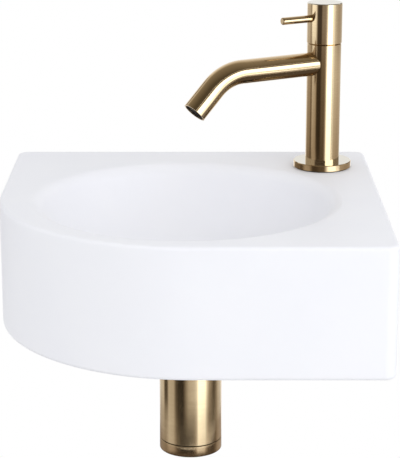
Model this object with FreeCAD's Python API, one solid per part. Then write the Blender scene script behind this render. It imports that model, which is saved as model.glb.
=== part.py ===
import FreeCAD
import Part

import math
import os

# A small wall hung hand basin with a single pillar tap, an always open waste and a bottle trap.
# Millimetres. The wall is the plane y = 0 and the basin stands out of it towards -y. +z is up and
# +x is to the right of someone who faces the basin. The origin lies between the two wall bolt holes.

# Ceramic casting
BOWL_RADIUS = 125.5  # mouth of the bowl, where the flat rim ends
RIM_LEFT = 24.5  # rim between the mouth and each outer side
RIM_RIGHT = 24.5
RIM_FRONT = 16.5
RIM_REAR = 32.5
RIM_CORNER = 26.5  # the large front left corner is this much wider than the mouth
RIM_ROUND = 11.0  # soft edge between rim and bowl
BOWL_SIDE_ANGLE = 70.0  # steepness of the bowl just below its soft edge
BOWL_SIDE_STRAIGHT = 2.0
BOWL_WALL = 9.0
BASIN_HEIGHT = 102.0
FLOOR_HEIGHT = 28.0  # lip of the drain recess above the basin's lower edge
DECK_THICKNESS = 14.0
SKIRT_WALL = 12.0
BACK_WALL = 12.0
CORNER_ROUND = 9.0  # the three small upright corners
CAVITY_CORNER_ROUND = 5.0
TOP_EDGE_ROUND = 6.0
BOTTOM_EDGE_ROUND = 3.0
BOSS_MARGIN = 4.0  # thick ring under the drain, beyond the recess
BOSS_THICKNESS = 10.0
RECESS_ROUND = 1.5  # lip of the drain recess

# Wall bolts
BOLT_INSET = 60.0  # from each outer side of the basin
BOLT_BELOW_DECK = 55.0
BOLT_BORE = 5.25  # radius inside a sleeve
SLEEVE_WALL = 1.6
SLEEVE_COLLAR = 11.0
SLEEVE_COLLAR_THICKNESS = 2.0

# Clearances
THREAD_GAP = 0.10  # radial, between two pieces that screw or press together
RUNNING_GAP = 0.06  # radial, between a shaft and its bore
MOVING_GAP = 0.30  # between other pieces that move against each other
EDGE_BREAK = 0.5  # small chamfer on turned metal

# Tap body
TAP_ANGLE = 42.8  # place of the tap round the bowl, from +x towards the wall
TAP_EDGE_GAP = 0.5  # rim between the mouth and the tap flange
TAP_HOLE_RADIUS = 17.5
FLANGE_RADIUS = 24.0
FLANGE_THICKNESS = 5.0
BASE_SEAL_THICKNESS = 1.0
BASE_SEAL_INSET = 1.5
COLUMN_RADIUS = 14.15
COLUMN_HEIGHT = 98.7
CHAMBER_RADIUS = 11.5  # bore round the valve
CHAMBER_BELOW_SPOUT = 1.0  # floor of that bore, under the spout's tube
WATERWAY_RADIUS = 6.0
SHANK_RADIUS = 10.48  # half inch pipe thread
SHANK_BORE = 6.0
SHANK_SCREWED_IN = 12.0
SHANK_BELOW_DECK = 48.0
INLET_RADIUS = 8.33  # three eighths pipe thread at the foot of the shank
INLET_LENGTH = 14.0
SHANK_WASHER_RADIUS = 22.0
RUBBER_WASHER_THICKNESS = 3.0
METAL_WASHER_THICKNESS = 1.5
SHANK_NUT_FLATS = 27.0
SHANK_NUT_HEIGHT = 8.0

# Spout
SPOUT_AZIMUTH = 210.8  # seen from above, from +x
SPOUT_BELOW_TOP = 16.6  # spout axis under the top of the column
SPOUT_RADIUS = 9.7
SPOUT_BORE = 7.4
SPOUT_RUN = 80.0  # column axis to the start of the bend
SPOUT_BEND_RADIUS = 38.0
SPOUT_BEND_ANGLE = 45.0
SPOUT_END = 25.0  # straight length after the bend
AERATOR_RADIUS = 8.4
AERATOR_LENGTH = 9.0
AERATOR_WALL = 1.4
AERATOR_INSET = 0.8
AERATOR_SEAL_THICKNESS = 1.5
SCREEN_THICKNESS = 1.0
SCREEN_HOLE = 0.75
SCREEN_PITCH = 2.1
SCREEN_RINGS = 2

# Valve
SEAT_SEAL_THICKNESS = 1.2
SEAT_SEAL_WALL = 3.0
NOSE_RADIUS = 9.2
NOSE_WALL = 1.6
DISC_THICKNESS = 2.5
DISC_GAP = 0.05
DISC_PORT = 1.9
DISC_PORT_OFFSET = 4.2
COLLAR_HEIGHT = 5.0
VALVE_FLANGE_RADIUS = 12.6
VALVE_FLANGE_THICKNESS = 1.5
VALVE_HEX_FLATS = 20.0
VALVE_HEX_HEIGHT = 5.0
SPINDLE_RADIUS = 3.9
SPINDLE_FOOT = 4.2
SPLINE_LENGTH = 10.0
SPLINE_DEPTH = 0.4
SPLINE_TEETH = 20

# Handle
HANDLE_RADIUS = 14.5
HANDLE_HEIGHT = 33.4
HANDLE_EDGE = 0.6
LEVER_RADIUS = 3.0
LEVER_REACH = 42.0  # column axis to the tip
LEVER_ROOT = 6.5  # column axis to the hidden end
LEVER_BELOW_TOP = 12.6
GRUB_RADIUS = 2.0
GRUB_LENGTH = 6.0
GRUB_SOCKET_FLATS = 2.0
GRUB_SOCKET_DEPTH = 2.5

# Waste
TAIL_OVER_TUBE = 4.9  # the inch and a quarter pipe thread is this much wider than the trap's tube
TAIL_WALL = 2.9
TAIL_BELOW_NUT = 16.0
DRAIN_HOLE_GAP = 2.1  # round the tail
WASTE_FLANGE_REACH = 10.6  # beyond the tail
WASTE_FLANGE_THICKNESS = 2.5
RECESS_GAP = 2.0  # round the waste flange
WASTE_TOP_SEAL_THICKNESS = 1.5
WASTE_TOP_SEAL_INSET = 2.0  # under the flange
WASTE_UNDER_SEAL_THICKNESS = 4.0
WASTE_UNDER_SEAL_REACH = 9.1  # beyond the tail
WASTE_UNDER_SEAL_TAPER = 3.0
WASTE_NUT_WALL = 4.1
WASTE_NUT_HEIGHT = 8.0
SPIDER_SPOKES = 3
SPIDER_WIDTH = 4.0
SPIDER_HEIGHT = 5.0
SPIDER_BELOW_FLANGE = 6.0
SPIDER_HUB = 6.0
STUD_RADIUS = 3.0
STUD_IN_COVER = 6.0
COVER_INSET = 3.5  # from the edge of the waste flange
COVER_EDGE = 2.2
COVER_CROWN = 1.6  # rise of the domed top
COVER_GAP = 6.0  # water gap above the waste flange

# Trap
UNION_OVERLAP = 10.0  # thread of the union nut on the waste tail
UNION_WALL = 4.1
UNION_LIP = 2.0
UNION_SEAL_THICKNESS = 1.5
TUBE_RADIUS = 16.0
TUBE_WALL = 1.2
TUBE_GAP = 0.3  # round the tube where it slides in a neck or nut
TUBE_COLLAR_THICKNESS = 2.0
NUT_SPACING = 1.0  # between the union nut and the neck nut
NECK_WALL = 2.4
NECK_HEIGHT = 7.0
NECK_NUT_WALL = 3.6
NECK_NUT_LIP = 1.5
NECK_SEAL_THICKNESS = 3.0
NUT_STANDOFF = 0.5  # a tightened nut stops short of the shoulder
WATER_GAP = 6.7  # round the tube inside the bottle
BOTTLE_WALL = 2.4
BOTTLE_SHOULDER = 4.0
BOTTLE_LENGTH = 66.5
SHOULDER_ROUND = 1.5
OUTLET_BELOW_SHOULDER = 21.0
OUTLET_BOSS_REACH = 12.0  # beyond the outside of the bottle
DIP_ABOVE_FLOOR = 9.0
SEAM_GAP = 0.3
CAP_HEIGHT = 9.0
CAP_FLOOR = 3.0
CAP_EDGE_ROUND = 0.6
CAP_THREAD_LENGTH = 9.0
CAP_THREAD_WALL = 3.4
CAP_GROOVE_DEPTH = 2.3
RING_SIDE_GAP = 0.2
OUTLET_PAST_WALL = 40.0
OUTLET_STOP_WIDTH = 1.5  # rolled groove that marks how far the pipe goes into the wall fitting
OUTLET_STOP_DEPTH = 0.4
ROSETTE_REACH = 16.0  # beyond the pipe
ROSETTE_DEPTH = 9.0
ROSETTE_SHEET = 1.5

# Places that follow from the sizes
DECK = BOLT_BELOW_DECK
LEFT = -(RIM_LEFT + 2 * BOWL_RADIUS + RIM_RIGHT) / 2
RIGHT = -LEFT
FRONT = -(RIM_REAR + 2 * BOWL_RADIUS + RIM_FRONT)
BOTTOM = DECK - BASIN_HEIGHT
BOWL_AXIS = (LEFT + RIM_LEFT + BOWL_RADIUS, -(RIM_REAR + BOWL_RADIUS))
TAP_DISTANCE = BOWL_RADIUS + TAP_EDGE_GAP + FLANGE_RADIUS
TAP_AXIS = (
    BOWL_AXIS[0] + TAP_DISTANCE * math.cos(math.radians(TAP_ANGLE)),
    BOWL_AXIS[1] + TAP_DISTANCE * math.sin(math.radians(TAP_ANGLE)),
)
TAP_PLACE = FreeCAD.Vector(TAP_AXIS[0], TAP_AXIS[1], 0)
UP = FreeCAD.Vector(0, 0, 1)
TO_WALL = FreeCAD.Vector(0, 1, 0)
SPOUT_WAY = FreeCAD.Vector(math.cos(math.radians(SPOUT_AZIMUTH)), math.sin(math.radians(SPOUT_AZIMUTH)), 0)

FLANGE_LOW = DECK + BASE_SEAL_THICKNESS
COLUMN_LOW = FLANGE_LOW + FLANGE_THICKNESS
COLUMN_TOP = COLUMN_LOW + COLUMN_HEIGHT
SPOUT_LEVEL = COLUMN_TOP - SPOUT_BELOW_TOP
CHAMBER_FLOOR = SPOUT_LEVEL - SPOUT_RADIUS - CHAMBER_BELOW_SPOUT
VALVE_LOW = CHAMBER_FLOOR + SEAT_SEAL_THICKNESS
MOVING_DISC_LOW = VALVE_LOW + DISC_THICKNESS + DISC_GAP
FOOT_LOW = MOVING_DISC_LOW + DISC_THICKNESS
FOOT_TOP = FOOT_LOW + SPINDLE_FOOT
VALVE_TOP = COLUMN_TOP + VALVE_FLANGE_THICKNESS + VALVE_HEX_HEIGHT
DISC_RADIUS = NOSE_RADIUS - NOSE_WALL - MOVING_GAP
SPLINE_LOW = VALVE_TOP + MOVING_GAP
SPLINE_TOP = SPLINE_LOW + SPLINE_LENGTH
HANDLE_LOW = COLUMN_TOP + MOVING_GAP
HANDLE_TOP = HANDLE_LOW + HANDLE_HEIGHT
HANDLE_BORE = VALVE_FLANGE_RADIUS + MOVING_GAP
LEVER_LEVEL = HANDLE_TOP - LEVER_BELOW_TOP
GRUB_LEVEL = SPLINE_LOW + SPLINE_LENGTH / 2
DECK_UNDERSIDE = DECK - DECK_THICKNESS
METAL_WASHER_TOP = DECK_UNDERSIDE - RUBBER_WASHER_THICKNESS
SHANK_NUT_TOP = METAL_WASHER_TOP - METAL_WASHER_THICKNESS

TAIL_RADIUS = TUBE_RADIUS + TAIL_OVER_TUBE
TAIL_BORE = TAIL_RADIUS - TAIL_WALL
DRAIN_HOLE_RADIUS = TAIL_RADIUS + DRAIN_HOLE_GAP
WASTE_FLANGE_RADIUS = TAIL_RADIUS + WASTE_FLANGE_REACH
WASTE_UNDER_SEAL_RADIUS = TAIL_RADIUS + WASTE_UNDER_SEAL_REACH
WASTE_NUT_FLATS = 2 * (TAIL_RADIUS + WASTE_NUT_WALL)
COVER_RADIUS = WASTE_FLANGE_RADIUS - COVER_INSET
RECESS_RADIUS = WASTE_FLANGE_RADIUS + RECESS_GAP
WASTE_TOP = BOTTOM + FLOOR_HEIGHT
WASTE_FLANGE_LOW = WASTE_TOP - WASTE_FLANGE_THICKNESS
RECESS_FLOOR = WASTE_FLANGE_LOW - WASTE_TOP_SEAL_THICKNESS
BOSS_BOTTOM = RECESS_FLOOR - BOSS_THICKNESS
WASTE_NUT_TOP = BOSS_BOTTOM - WASTE_UNDER_SEAL_THICKNESS
WASTE_NUT_LOW = WASTE_NUT_TOP - WASTE_NUT_HEIGHT
TAIL_END = WASTE_NUT_LOW - TAIL_BELOW_NUT
SPIDER_TOP = WASTE_TOP - SPIDER_BELOW_FLANGE
SPIDER_LOW = SPIDER_TOP - SPIDER_HEIGHT
COVER_LOW = WASTE_TOP + COVER_GAP

COLLAR_TOP = TAIL_END - UNION_SEAL_THICKNESS
COLLAR_LOW = COLLAR_TOP - TUBE_COLLAR_THICKNESS
COLLAR_RADIUS = TAIL_RADIUS - MOVING_GAP
UNION_LOW = COLLAR_LOW - UNION_LIP
NECK_NUT_TOP = UNION_LOW - NUT_SPACING
NECK_NUT_HEIGHT = NECK_NUT_LIP + NECK_SEAL_THICKNESS + NECK_HEIGHT - NUT_STANDOFF
SHOULDER = NECK_NUT_TOP - NECK_NUT_HEIGHT - NUT_STANDOFF
NECK_RADIUS = TUBE_RADIUS + TUBE_GAP + NECK_WALL
BOTTLE_LOW = SHOULDER - BOTTLE_LENGTH
BOTTLE_BORE = TUBE_RADIUS + WATER_GAP
BOTTLE_RADIUS = BOTTLE_BORE + BOTTLE_WALL
OUTLET_LEVEL = SHOULDER - OUTLET_BELOW_SHOULDER
OUTLET_SEAT = BOWL_AXIS[1] + BOTTLE_RADIUS + OUTLET_BOSS_REACH - NECK_HEIGHT
CAP_TOP = BOTTLE_LOW - SEAM_GAP
CAP_LOW = CAP_TOP - CAP_HEIGHT
CAP_THREAD_RADIUS = BOTTLE_BORE - MOVING_GAP
ROSETTE_RADIUS = TUBE_RADIUS + ROSETTE_REACH


def end_of(step):
    """Point where a step of a half section ends: a line gives its end, an arc its middle and end."""
    return step[1] if isinstance(step[0], tuple) else step


def half_section(steps):
    """Face in the x, z plane from (radius, height) steps, closed back to its last point."""
    edges = []
    start = end_of(steps[-1])
    for step in steps:
        finish = end_of(step)
        first = FreeCAD.Vector(start[0], 0, start[1])
        last = FreeCAD.Vector(finish[0], 0, finish[1])
        if step is not finish:
            middle = FreeCAD.Vector(step[0][0], 0, step[0][1])
            edges.append(Part.Arc(first, middle, last).toShape())
        elif first.distanceToPoint(last) > 1e-6:
            edges.append(Part.LineSegment(first, last).toShape())
        start = finish
    return Part.Face(Part.Wire(edges))


def turned(axis, steps):
    """Solid turned about an upright axis."""
    solid = half_section(steps).revolve(FreeCAD.Vector(0, 0, 0), UP, 360)
    solid.translate(FreeCAD.Vector(axis[0], axis[1], 0))
    return solid


def ring(axis, low, high, outer, inner=0.0, low_break=0.0, high_break=0.0):
    """Turned ring or disc whose outer edges are broken by small chamfers."""
    return turned(axis, [
        (inner, low),
        (outer - low_break, low),
        (outer, low + low_break),
        (outer, high - high_break),
        (outer - high_break, high),
        (inner, high),
    ])


def prism(axis, low, high, corner_radii, turn=0.0):
    """Upright prism on a polygon given by the radii of its evenly spaced corners."""
    points = []
    for index, radius in enumerate(corner_radii):
        angle = math.radians(turn) + 2 * math.pi * index / len(corner_radii)
        x = axis[0] + radius * math.cos(angle)
        y = axis[1] + radius * math.sin(angle)
        points.append(FreeCAD.Vector(x, y, low))
    outline = Part.makePolygon(points + points[:1])
    return Part.Face(outline).extrude(UP * (high - low))


def hex_body(axis, low, high, across_flats, corner_break=1.0):
    """Hexagon with the turned chamfer that takes the points off its corners."""
    corner = across_flats / math.sqrt(3)
    blank = ring(axis, low, high, corner, 0.0, corner_break, corner_break)
    return prism(axis, low, high, [corner] * 6).common(blank)


def hex_nut(axis, low, high, across_flats, bore):
    return hex_body(axis, low, high, across_flats).cut(ring(axis, low, high, bore))


def radial_rod(way, level, start, finish, radius):
    """Rod that leaves the tap axis sideways, between two distances from it."""
    base = TAP_PLACE + UP * level + way * start
    return Part.makeCylinder(radius, finish - start, base, way)


def plan_face(inset, back, small_round, level):
    """Plan of the casting, set in from its sides and front, with its back edge at y = back."""
    left = LEFT + inset
    right = RIGHT - inset
    front = FRONT + inset
    large_round = BOWL_RADIUS + RIM_CORNER - inset
    corners = [
        (left, back, small_round),
        (left, front, large_round),
        (right, front, small_round),
        (right, back, small_round),
    ]
    edges = []
    arcs = []
    for index, (x, y, radius) in enumerate(corners):
        before = corners[index - 1]
        after = corners[(index + 1) % len(corners)]
        corner = FreeCAD.Vector(x, y, level)
        arrive = (FreeCAD.Vector(before[0], before[1], level) - corner).normalize() * radius
        leave = (FreeCAD.Vector(after[0], after[1], level) - corner).normalize() * radius
        middle = corner + (arrive + leave) * (1 - math.sqrt(0.5))
        arcs.append((corner + arrive, middle, corner + leave))
    for index, (first, middle, last) in enumerate(arcs):
        edges.append(Part.LineSegment(arcs[index - 1][2], first).toShape())
        edges.append(Part.Arc(first, middle, last).toShape())
    return Part.Face(Part.Wire(edges))


def bowl_line(wall):
    """Bowl's half section at a depth below its inner face: rim, foot of the side, then the curve."""
    side = math.radians(BOWL_SIDE_ANGLE)
    rim_reach = RIM_ROUND * math.tan(side / 2)
    side_length = rim_reach + BOWL_SIDE_STRAIGHT
    bend = FreeCAD.Vector(
        BOWL_RADIUS - rim_reach - side_length * math.cos(side),
        0,
        DECK - side_length * math.sin(side),
    )
    foot = FreeCAD.Vector(RECESS_RADIUS, 0, WASTE_TOP)
    chord = foot - bend
    inward = FreeCAD.Vector(-math.sin(side), 0, math.cos(side))
    radius = chord.dot(chord) / (2 * chord.dot(inward))
    centre = bend + inward * radius
    points = []
    for point in (bend, (bend + foot) / 2, foot):
        spot = centre + (point - centre).normalize() * (radius + wall)
        points.append((spot.x, spot.z))
    rim_radius = points[0][0] + (DECK - points[0][1]) / math.tan(side)
    return (rim_radius, DECK), points[0], (points[1], points[2])


def basin():
    """Hollow casting: a rounded block, emptied from below round the bowl, with the bowl cut in."""
    block = plan_face(0.0, 0.0, CORNER_ROUND, BOTTOM).extrude(UP * BASIN_HEIGHT)
    top_edges = [edge for edge in block.Edges if edge.BoundBox.ZMin > DECK - 1e-6]
    block = block.makeFillet(min(TOP_EDGE_ROUND, CORNER_ROUND - EDGE_BREAK), top_edges)
    low_limit = min(CORNER_ROUND, SKIRT_WALL, BACK_WALL) - EDGE_BREAK
    bottom_edges = [edge for edge in block.Edges if edge.BoundBox.ZMax < BOTTOM + 1e-6]
    block = block.makeFillet(min(BOTTOM_EDGE_ROUND, low_limit), bottom_edges)

    rim, bend, curve = bowl_line(BOWL_WALL)
    bowl_mass = turned(BOWL_AXIS, [(0, DECK), rim, bend, curve, (0, curve[1][1])])
    boss = ring(BOWL_AXIS, BOSS_BOTTOM, RECESS_FLOOR, RECESS_RADIUS + BOSS_MARGIN)
    hollow = plan_face(SKIRT_WALL, -BACK_WALL, CAVITY_CORNER_ROUND, BOTTOM)
    hollow = hollow.extrude(UP * (BASIN_HEIGHT - DECK_THICKNESS))
    hollow = hollow.cut([bowl_mass, boss])

    rim, bend, curve = bowl_line(0.0)
    lift = RIM_ROUND
    bowl = turned(BOWL_AXIS, [
        (0, DECK + lift),
        (rim[0] + lift / math.tan(math.radians(BOWL_SIDE_ANGLE)), DECK + lift),
        bend,
        curve,
        (RECESS_RADIUS, RECESS_FLOOR),
        (DRAIN_HOLE_RADIUS, RECESS_FLOOR),
        (DRAIN_HOLE_RADIUS, BOTTOM),
        (0, BOTTOM),
    ])
    tap_hole = ring(TAP_AXIS, BOTTOM, DECK + lift, TAP_HOLE_RADIUS)
    holes = [hole_rod(x, BOLT_BORE + SLEEVE_WALL + THREAD_GAP) for x in bolt_places()]
    casting = block.cut([hollow, bowl, tap_hole] + holes)
    mouth = [edge for edge in casting.Edges if is_circle(edge, rim[0], DECK)]
    casting = casting.makeFillet(RIM_ROUND, mouth)
    lip = [edge for edge in casting.Edges if is_circle(edge, RECESS_RADIUS, WASTE_TOP)]
    return casting.makeFillet(RECESS_ROUND, lip)


def is_circle(edge, radius, level):
    """Is this edge a level circle of that radius?"""
    box = edge.BoundBox
    flat = abs(box.ZMin - level) < 1e-4 and abs(box.ZMax - level) < 1e-4
    return flat and abs(box.XLength - 2 * radius) < 1e-2


def bolt_places():
    return (LEFT + BOLT_INSET, RIGHT - BOLT_INSET)


def hole_rod(x, radius):
    """Rod from the wall through the basin's back at one bolt."""
    return Part.makeCylinder(radius, BACK_WALL, FreeCAD.Vector(x, -BACK_WALL, 0), TO_WALL)


def wall_sleeves():
    """Two collared sleeves that keep the bolts off the ceramic."""
    sleeves = []
    for x in bolt_places():
        inner_end = FreeCAD.Vector(x, -BACK_WALL - SLEEVE_COLLAR_THICKNESS, 0)
        collar = Part.makeCylinder(SLEEVE_COLLAR, SLEEVE_COLLAR_THICKNESS, inner_end, TO_WALL)
        bore = Part.makeCylinder(BOLT_BORE, BACK_WALL + SLEEVE_COLLAR_THICKNESS, inner_end, TO_WALL)
        sleeves.append(hole_rod(x, BOLT_BORE + SLEEVE_WALL).fuse(collar).cut(bore).removeSplitter())
    return Part.makeCompound(sleeves)


def tap_base_seal():
    return ring(TAP_AXIS, DECK, FLANGE_LOW, FLANGE_RADIUS - BASE_SEAL_INSET, SHANK_RADIUS + MOVING_GAP)


def tap_flange():
    return ring(
        TAP_AXIS, FLANGE_LOW, COLUMN_LOW, FLANGE_RADIUS, SHANK_RADIUS + MOVING_GAP, 0.0, EDGE_BREAK,
    )


def tap_column():
    """Turned body: thread for the shank below, waterway, then the chamber that holds the valve."""
    thread_top = COLUMN_LOW + SHANK_SCREWED_IN + EDGE_BREAK
    column = turned(TAP_AXIS, [
        (SHANK_RADIUS + THREAD_GAP, COLUMN_LOW),
        (COLUMN_RADIUS, COLUMN_LOW),
        (COLUMN_RADIUS, COLUMN_TOP - EDGE_BREAK),
        (COLUMN_RADIUS - EDGE_BREAK, COLUMN_TOP),
        (CHAMBER_RADIUS, COLUMN_TOP),
        (CHAMBER_RADIUS, CHAMBER_FLOOR),
        (WATERWAY_RADIUS, CHAMBER_FLOOR),
        (WATERWAY_RADIUS, thread_top),
        (SHANK_RADIUS + THREAD_GAP, thread_top),
    ])
    return column.cut(radial_rod(SPOUT_WAY, SPOUT_LEVEL, 0.0, SPOUT_RUN, SPOUT_RADIUS + THREAD_GAP))


def spout_path():
    """Line of the spout from the column axis to its mouth, with the mouth's place and direction."""
    turn = math.radians(SPOUT_BEND_ANGLE)
    first = TAP_PLACE + UP * SPOUT_LEVEL
    bend_start = first + SPOUT_WAY * SPOUT_RUN
    bend_centre = bend_start - UP * SPOUT_BEND_RADIUS
    half_way = SPOUT_WAY * math.sin(turn / 2) + UP * math.cos(turn / 2)
    bend_end = bend_centre + (SPOUT_WAY * math.sin(turn) + UP * math.cos(turn)) * SPOUT_BEND_RADIUS
    way_out = SPOUT_WAY * math.cos(turn) - UP * math.sin(turn)
    edges = [
        Part.LineSegment(first, bend_start).toShape(),
        Part.Arc(bend_start, bend_centre + half_way * SPOUT_BEND_RADIUS, bend_end).toShape(),
        Part.LineSegment(bend_end, bend_end + way_out * SPOUT_END).toShape(),
    ]
    return Part.Wire(edges), bend_end + way_out * SPOUT_END, way_out


def spout_rod(radius):
    section = Part.Wire([Part.makeCircle(radius, TAP_PLACE + UP * SPOUT_LEVEL, SPOUT_WAY)])
    return spout_path()[0].makePipeShell([section], True, False)


def mouth_rod(depth, start, radius):
    """Rod on the axis of the spout's mouth, from a depth inside it towards the outside."""
    mouth, way_out = spout_path()[1:]
    return Part.makeCylinder(radius, depth - start, mouth - way_out * depth, way_out)


def aerator_depth():
    return AERATOR_INSET + AERATOR_LENGTH + AERATOR_SEAL_THICKNESS


def tap_spout():
    """Bent tube with a saddle cut against the chamber and a wider mouth for the flow former."""
    tube = spout_rod(SPOUT_RADIUS).cut(spout_rod(SPOUT_BORE))
    chamber = ring(TAP_AXIS, COLUMN_LOW, COLUMN_TOP, CHAMBER_RADIUS)
    return tube.cut([chamber, mouth_rod(aerator_depth(), 0.0, AERATOR_RADIUS + THREAD_GAP)])


def aerator_body():
    depth = AERATOR_INSET + AERATOR_LENGTH
    shell = mouth_rod(depth, AERATOR_INSET, AERATOR_RADIUS)
    return shell.cut(mouth_rod(depth, AERATOR_INSET, AERATOR_RADIUS - AERATOR_WALL))


def aerator_screen():
    """Perforated disc across the flow former, with its holes on rings of six, twelve and so on."""
    outside = AERATOR_INSET + EDGE_BREAK
    inside = outside + SCREEN_THICKNESS
    disc = mouth_rod(inside, outside, AERATOR_RADIUS - AERATOR_WALL)
    mouth, way_out = spout_path()[1:]
    across = SPOUT_WAY.cross(UP)
    along = across.cross(way_out)
    holes = [mouth_rod(inside, outside, SCREEN_HOLE)]
    for count in range(1, SCREEN_RINGS + 1):
        for index in range(6 * count):
            angle = 2 * math.pi * index / (6 * count)
            offset = (across * math.cos(angle) + along * math.sin(angle)) * SCREEN_PITCH * count
            hole = mouth_rod(inside, outside, SCREEN_HOLE)
            hole.translate(offset)
            holes.append(hole)
    return disc.cut(holes)


def aerator_seal():
    inner = AERATOR_INSET + AERATOR_LENGTH
    seal = mouth_rod(aerator_depth(), inner, AERATOR_RADIUS)
    return seal.cut(mouth_rod(aerator_depth(), inner, AERATOR_RADIUS - AERATOR_WALL))


def headpart_seat_seal():
    return ring(TAP_AXIS, CHAMBER_FLOOR, VALVE_LOW, NOSE_RADIUS, NOSE_RADIUS - SEAT_SEAL_WALL)


def headpart_body():
    """Valve housing: nose with two outlet windows, screwed collar, flange and hexagon."""
    cavity = DISC_RADIUS + MOVING_GAP
    ceiling = FOOT_TOP + MOVING_GAP
    shaft_bore = SPINDLE_RADIUS + RUNNING_GAP
    hex_low = COLUMN_TOP + VALVE_FLANGE_THICKNESS
    body = turned(TAP_AXIS, [
        (cavity, VALVE_LOW),
        (NOSE_RADIUS, VALVE_LOW),
        (NOSE_RADIUS, COLUMN_TOP - COLLAR_HEIGHT),
        (CHAMBER_RADIUS - THREAD_GAP, COLUMN_TOP - COLLAR_HEIGHT),
        (CHAMBER_RADIUS - THREAD_GAP, COLUMN_TOP),
        (VALVE_FLANGE_RADIUS, COLUMN_TOP),
        (VALVE_FLANGE_RADIUS, hex_low),
        (shaft_bore, hex_low),
        (shaft_bore, ceiling),
        (cavity, ceiling),
    ])
    body = body.fuse(hex_nut(TAP_AXIS, hex_low, VALVE_TOP, VALVE_HEX_FLATS, shaft_bore)).removeSplitter()
    across = SPOUT_WAY.cross(UP)
    middle = (FOOT_LOW + FOOT_TOP) / 2
    windows = [radial_rod(way, middle, DISC_RADIUS, CHAMBER_RADIUS, DISC_PORT) for way in (across, -across)]
    return body.cut(windows)


def ports(low, high):
    """The two water ports through a valve disc."""
    across = SPOUT_WAY.cross(UP) * DISC_PORT_OFFSET
    holes = []
    for offset in (across, -across):
        place = TAP_PLACE + UP * low + offset
        holes.append(Part.makeCylinder(DISC_PORT, high - low, place, UP))
    return holes


def headpart_fixed_disc():
    top = VALVE_LOW + DISC_THICKNESS
    return ring(TAP_AXIS, VALVE_LOW, top, DISC_RADIUS + MOVING_GAP - THREAD_GAP).cut(ports(VALVE_LOW, top))


def headpart_moving_disc():
    """Disc whose two ports stand a quarter turn away from those of the fixed one while it is shut."""
    disc = ring(TAP_AXIS, MOVING_DISC_LOW, FOOT_LOW, DISC_RADIUS)
    holes = Part.makeCompound(ports(MOVING_DISC_LOW, FOOT_LOW))
    return disc.cut(holes.rotated(TAP_PLACE, UP, 90))


def spline(low, high, gap):
    """Toothed rod, or the hole for it when the gap is more than nothing."""
    tip = SPINDLE_RADIUS + gap
    return prism(TAP_AXIS, low, high, [tip, tip - SPLINE_DEPTH] * SPLINE_TEETH)


def headpart_spindle():
    """Splined shaft on a foot, whose two notches lead the water from the ports to the windows."""
    foot = ring(TAP_AXIS, FOOT_LOW, FOOT_TOP, DISC_RADIUS)
    start = DISC_PORT_OFFSET - DISC_PORT
    for way in (SPOUT_WAY, -SPOUT_WAY):
        for level in (FOOT_LOW, FOOT_TOP):
            foot = foot.cut(radial_rod(way, level, start, NOSE_RADIUS, DISC_PORT))
    shaft = ring(TAP_AXIS, FOOT_TOP, SPLINE_LOW, SPINDLE_RADIUS)
    return foot.fuse([shaft, spline(SPLINE_LOW, SPLINE_TOP, 0.0)]).removeSplitter()


def handle_cap():
    """Turned cap, open below over the valve, with a splined bore and cross holes for pin and screw."""
    cap = ring(TAP_AXIS, HANDLE_LOW, HANDLE_TOP, HANDLE_RADIUS, 0.0, EDGE_BREAK, HANDLE_EDGE)
    lever_hole = radial_rod(SPOUT_WAY, LEVER_LEVEL, LEVER_ROOT, LEVER_REACH, LEVER_RADIUS + THREAD_GAP)
    screw_hole = radial_rod(-SPOUT_WAY, GRUB_LEVEL, 0.0, HANDLE_RADIUS + EDGE_BREAK, GRUB_RADIUS + THREAD_GAP)
    return cap.cut([
        ring(TAP_AXIS, HANDLE_LOW, SPLINE_LOW, HANDLE_BORE),
        spline(SPLINE_LOW, SPLINE_TOP + EDGE_BREAK, THREAD_GAP),
        lever_hole,
        screw_hole,
    ])


def lever_pin():
    pin = radial_rod(SPOUT_WAY, LEVER_LEVEL, LEVER_ROOT, LEVER_REACH, LEVER_RADIUS)
    tip = TAP_PLACE + UP * LEVER_LEVEL + SPOUT_WAY * LEVER_REACH
    tip_edges = [edge for edge in pin.Edges if edge.BoundBox.Center.distanceToPoint(tip) < EDGE_BREAK]
    return pin.makeFillet(2 * EDGE_BREAK, tip_edges)


def handle_grub_screw():
    start = SPINDLE_RADIUS + THREAD_GAP
    finish = start + GRUB_LENGTH
    screw = radial_rod(-SPOUT_WAY, GRUB_LEVEL, start, finish, GRUB_RADIUS)
    socket = prism((0, 0), 0.0, GRUB_SOCKET_DEPTH, [GRUB_SOCKET_FLATS / math.sqrt(3)] * 6)
    place = TAP_PLACE + UP * GRUB_LEVEL - SPOUT_WAY * finish
    socket.Placement = FreeCAD.Placement(place, FreeCAD.Rotation(UP, SPOUT_WAY))
    return screw.cut(socket)


def tap_shank():
    """Threaded tube that clamps the tap and narrows to the water inlet at its foot."""
    step = DECK - SHANK_BELOW_DECK
    top = COLUMN_LOW + SHANK_SCREWED_IN
    shank = ring(TAP_AXIS, step, top, SHANK_RADIUS, SHANK_BORE, EDGE_BREAK, EDGE_BREAK)
    return shank.fuse(ring(TAP_AXIS, step - INLET_LENGTH, step, INLET_RADIUS, SHANK_BORE)).removeSplitter()


def shank_rubber_washer():
    return ring(TAP_AXIS, METAL_WASHER_TOP, DECK_UNDERSIDE, SHANK_WASHER_RADIUS, SHANK_RADIUS + THREAD_GAP)


def shank_metal_washer():
    return ring(TAP_AXIS, SHANK_NUT_TOP, METAL_WASHER_TOP, SHANK_WASHER_RADIUS, SHANK_RADIUS + THREAD_GAP)


def shank_backnut():
    low = SHANK_NUT_TOP - SHANK_NUT_HEIGHT
    return hex_nut(TAP_AXIS, low, SHANK_NUT_TOP, SHANK_NUT_FLATS, SHANK_RADIUS + THREAD_GAP)


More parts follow.
